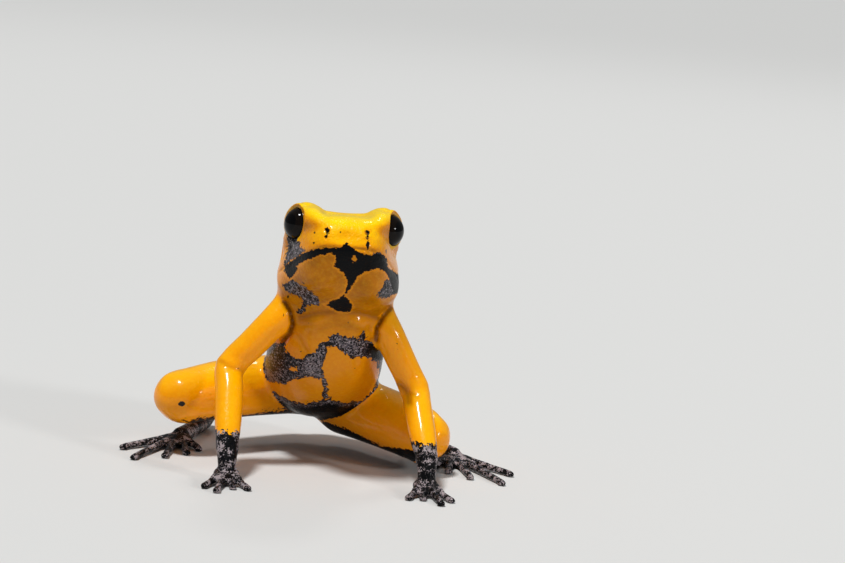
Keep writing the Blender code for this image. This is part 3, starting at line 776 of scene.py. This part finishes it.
def soften_skin(obj, trees):
    """Smooths the skin all over, more at the joints and the nape and less at eyes and digits."""
    places = places_of(obj)
    members, second = member_of(places, trees)
    from_eyes = np.min([distance_from(places, eye_centre(s)) for s in SIDES.values()], axis=0)
    calm = 0.25 + 0.75 * ramp(from_eyes, 3.0, 4.2)
    digits = np.isin(members, ["hand_right", "hand_left", "foot_right", "foot_left"])
    low = np.where(digits, 0.25, 1.0) * ramp(places[:, 2], 0.2, 1.0)
    smoothed(obj, calm * low, ALL_OVER_ROUNDS)
    joints = ramp(1.5 - second, 0.0, 0.9)
    smoothed(obj, joints * ramp(places[:, 2], 0.8, 2.0), JOINT_ROUNDS)
    places = places_of(obj)
    nape = ramp(3.0 - np.abs(above_neck(places)), 0.0, 2.0) * ramp(places[:, 1], -4.0, 1.0)
    smoothed(obj, nape * ramp(from_eyes, 3.4, 4.4), NAPE_ROUNDS)


def make_skin():
    trees = node_trees()
    obj = joined_flesh(trees)
    remesh = obj.modifiers.new("one skin", "REMESH")
    remesh.mode = "VOXEL"
    remesh.voxel_size = VOXEL * MM
    apply_modifier(obj, remesh)
    keep_largest(obj)
    soften_skin(obj, trees)
    refine_head(obj)
    smoothed(obj, (above_neck(places_of(obj)) > 0.3) * 0.6, HEAD_ROUNDS)
    press_features(obj)
    open_lids(obj)
    keep_largest(obj)
    mark_skin(obj, trees)
    select_only(obj)
    bpy.ops.object.shade_smooth_by_angle(angle=CREASE_ANGLE)
    return obj


def make_eye(side, name):
    """A polished ball with a slightly raised clear front."""
    obj = add_ball(EYE_RADIUS, Vector())
    obj.name = name
    places = places_of(obj)
    front = places[:, 2] / EYE_RADIUS
    swell = 1 + EYE_SWELL * ramp(front, 0.5, 0.95) ** 2
    set_places(obj, places * swell[:, None])
    write_numbers(obj, "front", front)
    place = Matrix.Translation(eye_centre(side) * MM) @ lid_turn(side).to_4x4() @ LAY
    obj.data.transform(place)
    select_only(obj)
    bpy.ops.object.shade_smooth()
    return obj


class Number:
    """A number that varies over a surface; sums on it add Math nodes."""

    def __init__(self, finish, socket):
        self.finish = finish
        self.socket = socket

    def _with(self, operation, first, second):
        made = self.finish.add("ShaderNodeMath", {"operation": operation}, {0: first, 1: second})
        return Number(self.finish, made.outputs[0])

    def __add__(self, other):
        return self._with("ADD", self, other)

    def __radd__(self, other):
        return self._with("ADD", other, self)

    def __sub__(self, other):
        return self._with("SUBTRACT", self, other)

    def __rsub__(self, other):
        return self._with("SUBTRACT", other, self)

    def __mul__(self, other):
        return self._with("MULTIPLY", self, other)

    def __rmul__(self, other):
        return self._with("MULTIPLY", other, self)

    def most(self, other):
        return self._with("MAXIMUM", self, other)

    def least(self, other):
        return self._with("MINIMUM", self, other)

    def step(self, low, high):
        """Rises smoothly from 0 at low to 1 at high."""
        made = self.finish.add(
            "ShaderNodeMapRange",
            {"interpolation_type": "SMOOTHSTEP"},
            {"Value": self, "From Min": low, "From Max": high},
        )
        return Number(self.finish, made.outputs[0])


class Finish:
    """One material, with short ways to add its nodes."""

    def __init__(self, name):
        self.material = bpy.data.materials.new(name)
        self.material.use_nodes = True
        self.tree = self.material.node_tree
        self.shader = self.tree.nodes["Principled BSDF"]

    def add(self, kind, settings, inputs):
        made = self.tree.nodes.new(kind)
        for key, value in settings.items():
            setattr(made, key, value)
        for key, value in inputs.items():
            self.feed(made.inputs[key], value)
        return made

    def feed(self, socket, value):
        if isinstance(value, Number):
            value = value.socket
        if isinstance(value, bpy.types.NodeSocket):
            self.tree.links.new(value, socket)
        else:
            socket.default_value = value

    def set(self, name, value):
        self.feed(self.shader.inputs[name], value)

    def place(self):
        """The place on the piece, in millimetres."""
        spot = self.add("ShaderNodeTexCoord", {}, {}).outputs["Object"]
        grown = self.add("ShaderNodeVectorMath", {"operation": "SCALE"}, {0: spot, "Scale": 1 / MM})
        return grown.outputs[0]

    def written(self, name):
        """A number that is written on the points of the piece."""
        made = self.add("ShaderNodeAttribute", {"attribute_name": name}, {})
        return Number(self, made.outputs["Fac"])

    def noise(self, place, size, detail, twist):
        """Soft noise from 0 to 1 with lumps of about this size in millimetres."""
        made = self.add(
            "ShaderNodeTexNoise",
            {},
            {"Vector": place, "Scale": 1 / size, "Detail": detail, "Distortion": twist},
        )
        return Number(self, made.outputs["Fac"])

    def grains(self, place, size):
        """Cells of about this size: the distance from each one's middle, and its own colour."""
        made = self.add("ShaderNodeTexVoronoi", {}, {"Vector": place, "Scale": 1 / size})
        return Number(self, made.outputs["Distance"]), made.outputs["Color"]

    def mix(self, factor, first, second):
        made = self.add("ShaderNodeMix", {"data_type": "RGBA"}, {0: factor, 6: first, 7: second})
        return made.outputs[2]


def plain_skin(finish, noise, height, depth):
    """Yellow, partly the crown's own colour and partly painted light where the skin faces up;
    painted shade in deeper orange on chest and folds.
    """
    behind = depth.step(-9.0, 3.0)
    crest = (height - CREST_HEIGHT).step(0.0, 8.0) * (1 - behind * 0.7)
    # Painted light: yellow where the skin faces up, more on the crown, which is also yellower of
    # itself.
    painted_top_light = finish.written("raised") * (0.4 + crest * 0.6)
    skin = finish.mix(painted_top_light * (0.7 + noise["broad"] * 0.5), ORANGE, GOLD)
    skin = finish.mix((noise["patchy"] - 0.35).step(0.0, 0.5) * 0.25, skin, DEEP_ORANGE)
    # Painted shade below the head and on the chest.
    skin = finish.mix(finish.written("shaded_underside") * (1.1 - noise["patchy"] * 0.5), skin, SHADE_AMBER)
    skin = finish.mix((noise["fine"] - 0.4).step(0.0, 0.35) * 0.12, skin, SUNLIT)
    # Painted shade along the creases: brown, with a darker core.
    folds = finish.written("folds")
    skin = finish.mix((folds * 1.4).least(0.6), skin, CREASE_SHADE_BROWN)
    skin = finish.mix(folds.step(0.25, 0.5) * 0.55, skin, CREASE_SHADE_DARK)
    lid = (finish.written("lid") + (noise["fine"] - 0.5) * 0.1).step(0.0, 0.15)
    return finish.mix(lid * 0.55, skin, LID_PALE)


def mottling(finish, noise, place, skin):
    """Pale lilac granules in a black net, breaking up at the edge: the colour, where, and beads."""
    granule, granule_colour = finish.grains(place, GRANULE_SIZE)
    parted = finish.add("ShaderNodeSeparateColor", {}, {0: granule_colour})
    kind = Number(finish, parted.outputs[0])
    edge = finish.written("mottle") + (noise["ragged"] - 0.5) * 0.9 + (noise["net"] - 0.5) * 0.9
    where = edge.step(-0.03, 0.04)
    bare = (noise["net"] - 0.54).step(0.0, 0.06)
    loose = (noise["broad"] - 0.5) * 1.2 - (noise["lace"] - 0.5) * 1.6
    beads = 1 - (granule + (kind - 0.5) * 0.2 + loose).step(0.36, 0.62)
    inner = 0.35 + (edge + (noise["lace"] - 0.5) * 0.8).step(0.05, 0.4) * 0.65
    grey = finish.mix(kind, DARK_GRANULE, PALE_GRANULE)
    patch = finish.mix(beads * inner * (1 - bare * 0.8), GRANULE_BED, grey)
    return finish.mix(where, skin, patch), where, beads


def black_bands(finish, noise, skin, mottled):
    """Solid black with toothed edges and a thin brighter rim: the colour, and where it lies."""
    edge = finish.written("black") + (noise["ragged"] - 0.5) * 0.75
    rim = (edge + 0.35).step(0.0, 0.2) * (1 - mottled) * 0.3
    skin = finish.mix(rim, skin, ORANGE)
    under = finish.written("under") + (noise["ragged"] - 0.5) * 0.5 + (noise["patchy"] - 0.5) * 0.5
    where = edge.step(-0.03, 0.07).most(under.step(-0.02, 0.06))
    return finish.mix(where, skin, INK), where


def gloves(finish, noise, place, skin):
    """Black with scattered pale granules, up to a ragged edge: the colour, and where it lies."""
    edge = finish.written("glove") + (noise["ragged"] - 0.5) * 2.2
    where = edge.step(-0.05, 0.10)
    pearl, _ = finish.grains(place, PEARL_SIZE)
    pearl = pearl + (0.5 - noise["chalk"]) * 2.4 + (noise["lace"] - 0.5) * 0.9
    pearls = 1 - pearl.step(0.26, 0.46)
    return finish.mix(where, skin, finish.mix(pearls, INK, PEARL)), where


def skin_finish():
    finish = Finish("frog skin")
    place = finish.place()
    noise = {name: finish.noise(place, *facts) for name, facts in SKIN_NOISES.items()}
    parted = finish.add("ShaderNodeSeparateXYZ", {}, {0: place})
    height = Number(finish, parted.outputs["Z"])
    depth = Number(finish, parted.outputs["Y"])
    fine = noise["fine"]

    skin = plain_skin(finish, noise, height, depth)
    skin, mottled, beads = mottling(finish, noise, place, skin)
    skin, black = black_bands(finish, noise, skin, mottled)
    skin, glove = gloves(finish, noise, place, skin)
    spots = (finish.written("spots") + (fine - 0.5) * 0.2).step(-0.02, 0.05)
    finish.set("Base Color", finish.mix(spots, skin, SPECK))

    # A moist coat, thinner on black skin, below the head and on the rough crown.
    dark = black.most(glove).most(mottled * 0.7)
    crown = (height - CROWN_HEIGHT).step(0.0, 4.0)
    gloss = 0.7 - (noise["broad"] - 0.5) * 0.3 - finish.written("shaded_underside") * 0.4 - crown * 0.25
    finish.set("Coat Weight", gloss * (1 - dark * 0.8))
    finish.set("Coat Roughness", 0.09)
    finish.set("Coat IOR", 1.35)
    finish.set("Roughness", 0.30 + (fine - 0.5) * 0.14 + dark * 0.08)
    finish.set("Specular IOR Level", 0.06)
    finish.set("Subsurface Weight", 0.06)
    finish.set("Subsurface Radius", (1.0, 0.45, 0.1))
    finish.set("Subsurface Scale", 0.6 * MM)

    # Fine grain all over, beads on the mottled skin and low lumps that grow on the crown.
    grain, _ = finish.grains(place, GRAIN_SIZE)
    relief = (1 - grain) * (0.03 + crown * 0.04) + fine * 0.035
    relief = relief + beads * mottled.most(glove) * 0.05
    relief = relief + noise["swells"] * (0.06 + crown * 0.14)
    bump = finish.add("ShaderNodeBump", {}, {"Strength": 0.7, "Distance": MM, "Height": relief})
    finish.set("Normal", bump.outputs[0])
    return finish.material


def eye_finish():
    """Wet black with a dark brown ring of fine fibres that hardly shows."""
    finish = Finish("wet black eye")
    front = finish.written("front")
    fibres = finish.noise(finish.place(), 0.22, 4.0, 1.2)
    ring = front.step(0.55, 0.7) * (1 - front.step(0.86, 0.9))
    brown = finish.mix(fibres, IRIS_DARK, IRIS_BROWN)
    finish.set("Base Color", finish.mix(ring * 0.8, EYE_BLACK, brown))
    finish.set("Roughness", 0.06 + (fibres - 0.5) * 0.02)
    finish.set("Specular IOR Level", 0.05)
    finish.set("Coat Weight", 0.4)
    finish.set("Coat IOR", 1.3)
    finish.set("Coat Roughness", 0.02)
    return finish.material


def floor_finish():
    finish = Finish("pale floor")
    finish.set("Base Color", FLOOR_PALE)
    finish.set("Roughness", 0.8)
    return finish.material


def wear(obj, material):
    obj.data.materials.clear()
    obj.data.materials.append(material)


def make_floor():
    bpy.ops.object.select_all(action="DESELECT")
    bpy.ops.mesh.primitive_plane_add(size=FLOOR_SIZE)
    floor = bpy.context.object
    floor.name = "floor"
    wear(floor, floor_finish())


def aimed_light(name, kind, place, target, power):
    """A light at this place, turned towards the target."""
    data = bpy.data.lights.new(name, kind)
    data.energy = power
    lamp = bpy.data.objects.new(name, data)
    bpy.context.scene.collection.objects.link(lamp)
    place, target = Vector(place), Vector(target)
    turn = (target - place).to_track_quat("-Z", "Y").to_matrix().to_4x4()
    lamp.matrix_world = Matrix.Translation(place) @ turn
    return data


def light_studio():
    """Even light from the front right, two broad soft lights, and a dim room all round."""
    key = aimed_light("key", "SUN", (-0.35, -0.32, 1.3), (0, 0, 0), 2.7)
    key.angle = math.radians(9)
    middle = (0, 0, 0.015)
    for name, place, size, power in (
        ("fill", (0.95, -0.75, 0.45), 0.2, 4.4),
        ("back", (0.3, 0.9, 1.1), 0.25, 1.8),
    ):
        soft = aimed_light(name, "AREA", place, middle, power)
        soft.shape = "DISK"
        soft.size = size
    world = bpy.data.worlds.new("studio")
    world.use_nodes = True
    room = world.node_tree.nodes["Background"]
    room.inputs["Color"].default_value = (0.95, 0.97, 1.0, 1)
    room.inputs["Strength"].default_value = 0.2
    bpy.context.scene.world = world
    bpy.context.scene.view_settings.view_transform = "Standard"


skin = make_skin()
wear(skin, skin_finish())
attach(skin, "root")
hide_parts(*FLESH)
wet_black = eye_finish()
for name, side in SIDES.items():
    eye = make_eye(side, f"eyeball_{name}")
    wear(eye, wet_black)
    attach(eye, "root")
    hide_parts(f"eye_{name}")
make_floor()
light_studio()
place_camera()
